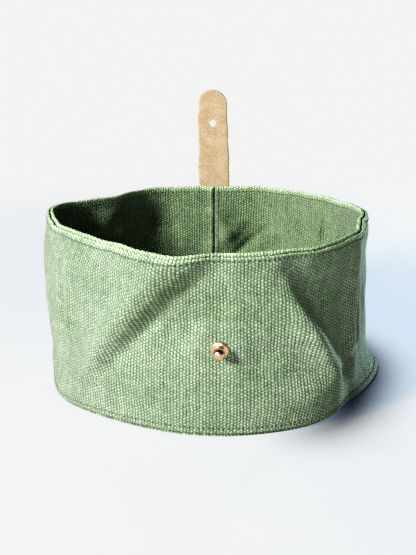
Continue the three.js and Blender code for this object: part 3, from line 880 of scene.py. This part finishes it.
def weave(u, v):
    """Height of a plain weave, 0 in the gaps to 1 on the warp, and a random number for each bump and yarn.

    `turn` counts the bumps up a warp yarn, which come half a turn later on the next one. The twist of the
    yarn closes two of the gaps at a bump's corners and opens the other two."""
    column = u / WARP_PITCH
    yarn = column.floor()
    side = column - yarn - 0.5
    turn = v / (2 * WEFT_PITCH) + yarn.math("MODULO", 2.0) * 0.5
    over = ((turn - side * 0.2) * (2 * math.pi)).cos() * 0.5 + 0.5
    across = (side * math.pi).cos()
    yarns = across.power(0.20) * (over.power(1.2) * 0.76 + 0.24)
    slanted = turn - (side - side.math("SIGN") * 0.5) * 0.45
    corner = (slanted * (2 * math.pi)).math("SINE") * side * 2.0
    open_gap = corner.remap(0.08, 0.80)
    closed_gap = (corner * -1.0).remap(0.35, 1.0) * 0.4
    height = yarns * (open_gap.max(closed_gap) * -0.9 + 1.0)
    return height, random_of(yarn, (turn + 0.5).floor()), random_of(yarn, 7.0)


def uneven_weave(u, v, place):
    """A weave whose yarns wander and differ: its height, its brightness and its relief."""
    drift = noise(place, 0.11, 3.0) - 0.5
    drift_up = noise(vector_of(v, u, 40.0), 0.13, 3.0) - 0.5
    jitter = noise(place, 0.9, 1.0) - 0.5
    woven_u = u + drift * 1.8 + jitter * 0.7
    woven_v = v + drift_up * 1.8 + jitter * 0.9
    height, of_bump, of_warp = weave(woven_u, woven_v)
    of_weft = random_of((v / WEFT_PITCH).floor(), 3.0)
    fibres = noise(place, 2.2, 4.0, 0.75)
    slub = noise(vector_of(u * 0.55, v * 0.06), 1.0, 1.0).remap(0.62, 0.74)
    level = of_bump * 0.36 + of_warp * 0.22 + of_weft * 0.12 + fibres * 0.50 + slub * 0.15 + 0.54
    return height, level, height + fibres * 0.45 + slub * 0.2


def needle_holes(u, v, rows):
    """1 at the holes between the stitches of each sewn row, 0 elsewhere."""
    along = (u / STITCH_PITCH).off_nearest() * STITCH_PITCH
    holes = []
    for row in rows:
        aside = (v - row) * 1.7  # the holes are drawn out along the row
        distance = (along * along + aside * aside).power(0.5)
        holes.append(distance.remap(0.35, 0.90, 1.0, 0.0))
    return reduce(Value.max, holes)


def band(value, low, high, soft):
    """1 between two values, fading to 0 over `soft` on each side of them."""
    return value.remap(low - soft, low + soft) * value.remap(high - soft, high + soft, 1.0, 0.0)


def hem_wear_and_highlight(v, hem, wear):
    """How much paler the doubled cloth of a hem is, partly from wear and partly as painted highlight on the
    rim's top: palest, by the share `wear`, on its turned edge.
    """
    low, turn, turned, high = hem
    return band(v, low, high, 0.3) * wear * 0.5 + band(v, turn, turned, 0.8) * wear + 1.0


def seam_shade(u):
    """1 in the seam at the back, 0 a little way from it."""
    from_seam = (u / CLOTH_ROUND).off_nearest().math("ABSOLUTE") * CLOTH_ROUND
    return from_seam.remap(0.35, 1.1, 0.92, 0.0)


def canvas(name, colour, light, sewn_rows=(), hem=None, wear=0.0, seamed=False):
    """Heavy plain-weave cotton canvas, washed lighter in patches, with painted shade in the gaps between its
    yarns.

    sewn_rows are the heights of its rows of needle holes, up the cloth. hem is four heights up the cloth:
    where its doubled part begins, where the edge's turn starts and ends, and where the doubled part ends."""
    material, tree, shader = new_material(name, Roughness=0.95, Sheen_Weight=0.2, Sheen_Roughness=0.6,
                                          Specular_IOR_Level=0.12)
    u, v, place = cloth_uv(tree)
    height, level, relief = uneven_weave(u, v, place)
    faded = noise(place, 0.035, 4.0, 0.6).remap(0.35, 0.68)
    fuzz = noise(place, 0.16, 3.0, 0.6).remap(0.42, 0.66)
    body = mix_colour(faded, colour, light)
    # painted shade between the yarns: the lower the weave lies, the more of the dark gap colour it takes
    gap_shade = mix_colour(fuzz * 0.15, GAP_SHADE_COLOUR, body)
    woven = mix_colour(height.remap(0.08, 0.61), gap_shade, body)
    if sewn_rows:
        # painted shade in the needle holes of each sewn row
        woven = mix_colour(needle_holes(u, v, sewn_rows) * 0.9, woven, HOLE_SHADE_COLOUR)
    if seamed:
        # painted shade along the seam at the back
        woven = mix_colour(seam_shade(u), woven, SEAM_SHADE_COLOUR)
    # a hem is paler: partly wear, partly painted highlight on the rim's top
    if hem:
        level = level * hem_wear_and_highlight(v, hem, wear)
    paint(shader, brighten(woven, level), relief, 0.75)
    return material


def outer_canvas_material():
    """The outer wall's canvas. Up the cloth, 0 is the top of the wall's rolled foot."""
    rows = [row_z - OUTER_FOOT_Z for row_z in SEWN_ZS]
    turn = OUTER_TOP_Z - EDGE_RADIUS - OUTER_FOOT_Z
    turned = turn + math.pi * EDGE_RADIUS
    # the hem's paler edge: partly wear, partly painted highlight on the rim's top
    return canvas("sage_canvas", SAGE, SAGE_LIGHT, rows, hem=(rows[0] + 0.6, turn, turned, turned), wear=0.7)


def lining_canvas_material():
    """The lining wall's canvas. Up the cloth, 0 is its foot, on the side that lies against the outer wall."""
    plain = HEM_FOOT_Z - HEM_TAPER - LINING_FOOT_Z
    taper = math.hypot(HEM_TAPER, 2 * EDGE_RADIUS - PLY)
    turn = plain + taper + (HEIGHT - EDGE_RADIUS - HEM_FOOT_Z)
    turned = turn + math.pi * EDGE_RADIUS
    row = turned + (HEIGHT - EDGE_RADIUS - RIM_STITCH_Z)
    # the lining's hem is paler by more: partly wear, partly painted highlight that brings its lit edge back
    # up from the lining's painted shade
    return canvas("sage_canvas_lining", LINING_SAGE_SHADED, LINING_SAGE_LIGHT_SHADED, [row],
                  hem=(turn - 1, turn, turned, row - 0.6), wear=1.5, seamed=True)


def leather_material():
    """Split suede: a short nap with dark specks, paler where it is rubbed."""
    material, tree, shader = new_material("suede_leather", Roughness=0.92, Sheen_Weight=0.25,
                                          Specular_IOR_Level=0.15)
    u, v, place = cloth_uv(tree)
    grain = noise(place, 1.1, 5.0, 0.75)
    nap = noise(vector_of(u * 1.6, v * 0.7, 9.0), 0.9, 3.0, 0.6)
    patches = noise(place, 0.12, 3.0)
    specks = noise(place, 1.9, 2.0, 0.6).remap(0.56, 0.70)
    colour = mix_colour(patches.remap(0.35, 0.7), TAN, TAN_LIGHT)
    colour = mix_colour(specks * 0.75, colour, TAN_SPECK)
    level = grain * 1.5 + nap * 0.5 - 0.12
    paint(shader, brighten(colour, level), grain + nap * 0.6, 0.45)
    return material


def copper_material():
    """Polished copper with faint handling marks."""
    material, tree, shader = new_material("polished_copper", Metallic=1.0)
    u, v, place = cloth_uv(tree)
    wear = noise(place, 0.7, 4.0, 0.6)
    scratches = noise(vector_of(u * 0.3, v * 9.0), 1.0, 2.0)
    roughness = (wear * 0.5 + scratches * 0.5).remap(0.3, 0.8, 0.10, 0.24)
    connect(roughness, shader.inputs["Roughness"])
    paint(shader, mix_colour(wear.remap(0.3, 0.75), COPPER, COPPER_LIGHT), scratches, 0.006)
    return material


def thread_material():
    """Twisted sewing thread: fine slanting strands."""
    material, tree, shader = new_material("sewing_thread", Roughness=0.7, Sheen_Weight=0.3)
    u, v, _ = cloth_uv(tree)
    strand = ((u * 2.2 + v * 2.0) * (2 * math.pi)).cos() * 0.5 + 0.5
    paint(shader, mix_colour(strand, THREAD_DARK, THREAD_LIGHT), strand, 0.05)
    return material


base_canvas = canvas("sage_canvas_base", SAGE, SAGE_LIGHT)
# the lining's floor takes the lining's darkened colours: painted shade inside the bag
lining_base_canvas = canvas("sage_canvas_lining_base", LINING_SAGE_SHADED, LINING_SAGE_LIGHT_SHADED)
leather = leather_material()
copper = copper_material()
thread = thread_material()


# ---- pieces ----

outer = finish_piece(outer_wall(), outer_canvas_material(), "bag", ["outer_wall"])
lining = finish_piece(lining_wall(), lining_canvas_material(), "bag", ["lining_wall"])
base = finish_piece(outer_base(), base_canvas, "bag", ["outer_base"])
floor_lining = finish_piece(lining_base(), lining_base_canvas, "bag", ["lining_base"])

stitch_rows = [
    ("rim_stitches_outside", "rim_topstitch_outside", RIM_STITCH_Z, 0, -1, 31),
    ("rim_stitches_inside", "rim_topstitch_inside", RIM_STITCH_Z, WALL_THICKNESS, 1, 32),
    ("base_stitches", "base_topstitch", BASE_STITCH_Z, 0, -1, 33),
]
for name, node, row_z, face, facing, seed in stitch_rows:
    piece = stitch_row(name, row_z, face, facing, seed)
    finish_piece(piece, thread, "bag", [node])

strap()
rivets()
stud()
stud_screw()
stud_washer()


# ---- stage ----

def along_direction(vector, direction):
    """How far a vector of the tree reaches along a direction."""
    inputs = {0: vector, 1: Vector(direction).normalized()}
    return add_node(vector.tree, "VectorMath", inputs, "Value", operation="DOT_PRODUCT")


def mix_shaders(share, a, b, output):
    """Sends a mix of two shaders to the tree's output node: a where the share is 0, b where it is 1."""
    mixed = add_node(share.tree, "MixShader", {0: share, 1: a, 2: b})
    connect(mixed, share.tree.nodes[output].inputs["Surface"])


def contact_shadow(place):
    """The soft dark line on the floor along the bag's right: 1 under its edge, 0 away from it."""
    openness = add_node(place.tree, "AmbientOcclusion", {"Distance": 0.05}, "AO")
    right = along_direction(place, (0.85, 0.15, 0)).remap(0.0, 0.07)
    return right * openness.remap(0.57, 0.98, 1.0, 0.0).power(1.2)


def floor_material():
    """A pale floor that takes the bag's shadow near by, and turns into the backdrop further off."""
    material, tree, shader = new_material("pale_floor", Roughness=0.9, Specular_IOR_Level=0.1)
    place = add_node(tree, "TexCoord", {}, "Object")
    unshaded = contact_shadow(place) * -1.0 + 1.0
    connect(mix_colour(unshaded, (0.0, 0.0, 0.0), FLOOR_LIT), shader.inputs["Base Color"])

    bounced = add_node(tree, "LightPath", {}, "Is Diffuse Ray") * -0.4 + 1.0
    glow_colour = mix_colour(unshaded, CONTACT_GLOW, FLOOR_GLOW)
    glow = add_node(tree, "Emission", {"Color": glow_colour, "Strength": bounced})
    near = add_node(tree, "AddShader", {0: Value(tree, shader.outputs[0]), 1: glow})
    far = add_node(tree, "Emission", {"Color": (*BACKDROP, 1.0)})
    away = add_node(tree, "VectorMath", {0: place}, "Value", operation="LENGTH")
    mix_shaders(away.remap(0.22, 0.75), near, far, "Material Output")
    return material


def world():
    """A pale backdrop for the camera; the light it gives comes mostly from the front left and above."""
    studio = bpy.data.worlds.new("studio")
    studio.use_nodes = True
    bpy.context.scene.world = studio
    tree = studio.node_tree
    backdrop = tree.nodes["Background"]
    connect((*BACKDROP, 1.0), backdrop.inputs["Color"])

    direction = add_node(tree, "TexCoord", {}, "Generated")
    front_left = along_direction(direction, (-0.53, -0.84, 0.1)).remap(-0.1, 1.0, 0.07, 0.48)
    low = along_direction(direction, (0, 0, 1)).remap(0.05, 0.75, 1.0, 0.12)
    panel_light = along_direction(direction, (-0.55, -0.80, 0.25)).remap(0.74, 0.90, 0.0, 1.5)
    strength = front_left * low + panel_light * add_node(tree, "LightPath", {}, "Is Glossy Ray")
    lit = add_node(tree, "Background", {"Color": (0.86, 0.93, 1.0, 1), "Strength": strength})
    camera_ray = add_node(tree, "LightPath", {}, "Is Camera Ray")
    mix_shaders(camera_ray, lit, Value(tree, backdrop.outputs[0]), "World Output")


LIGHT_AIM_Z = 0.05

# Name, azimuth, elevation, distance and size in metres, power in watts, and colour.
LIGHTS = [
    ("key", -137, 25, 1.6, 0.30, 50, (0.97, 0.98, 0.96)),
    ("right edge", 52, 0, 0.9, 0.09, 11, (0.74, 0.91, 1.0)),
    ("front", -98, 2, 1.5, 0.4, 4.6, (1.0, 1.0, 0.97)),
]

# The photograph's view: the lens's field, where it stood, and how far it looked down.
LENS_MM, SENSOR_MM = 57.6, 36
CAMERA_AT = (-0.0045, -0.523, 0.209)
CAMERA_PITCH = 15.92

# How the picture shows linear light: darks held down a little, as a camera does, and whites as they are.
TONE_CURVE = [(0.03, 0.016), (0.12, 0.095), (0.30, 0.31), (0.55, 0.58), (0.896, 0.896)]

FLOOR_HALF = 4000  # millimetres from its middle to its sides


def area_light(name, azimuth, elevation, distance, size, power, colour):
    """A square light aimed at the bag; azimuth is its direction from the bag, in degrees from +X."""
    light = bpy.data.lights.new(name, "AREA")
    light.size = size
    light.energy = power
    light.color = colour
    obj = add_object(name, light)
    a, e = math.radians(azimuth), math.radians(elevation)
    towards = Vector((math.cos(a) * math.cos(e), math.sin(a) * math.cos(e), math.sin(e)))
    obj.location = Vector((0, 0, LIGHT_AIM_Z)) + towards * distance
    obj.rotation_euler = towards.to_track_quat("Z", "Y").to_euler()


def camera():
    data = bpy.data.cameras.new("camera")
    data.lens = LENS_MM
    data.sensor_width = SENSOR_MM
    obj = add_object("camera", data)
    obj.location = CAMERA_AT
    obj.rotation_euler = (math.radians(90 - CAMERA_PITCH), 0, 0)
    bpy.context.scene.camera = obj


def tone():
    """Plain colours, shown through the tone curve."""
    settings = bpy.context.scene.view_settings
    settings.view_transform = "Standard"
    settings.use_curve_mapping = True
    curve = settings.curve_mapping.curves[3]  # the one for all three colours together
    for linear, shown in TONE_CURVE:
        curve.points.new(linear, shown)
    settings.curve_mapping.update()


def pale_floor():
    corners = [(x * FLOOR_HALF, y * FLOOR_HALF, 0) for x, y in ((-1, -1), (1, -1), (1, 1), (-1, 1))]
    floor = make_mesh("floor", corners, [(0, 1, 2, 3)])
    floor.data.materials.append(floor_material())


pale_floor()
world()
for light in LIGHTS:
    area_light(*light)
camera()
tone()
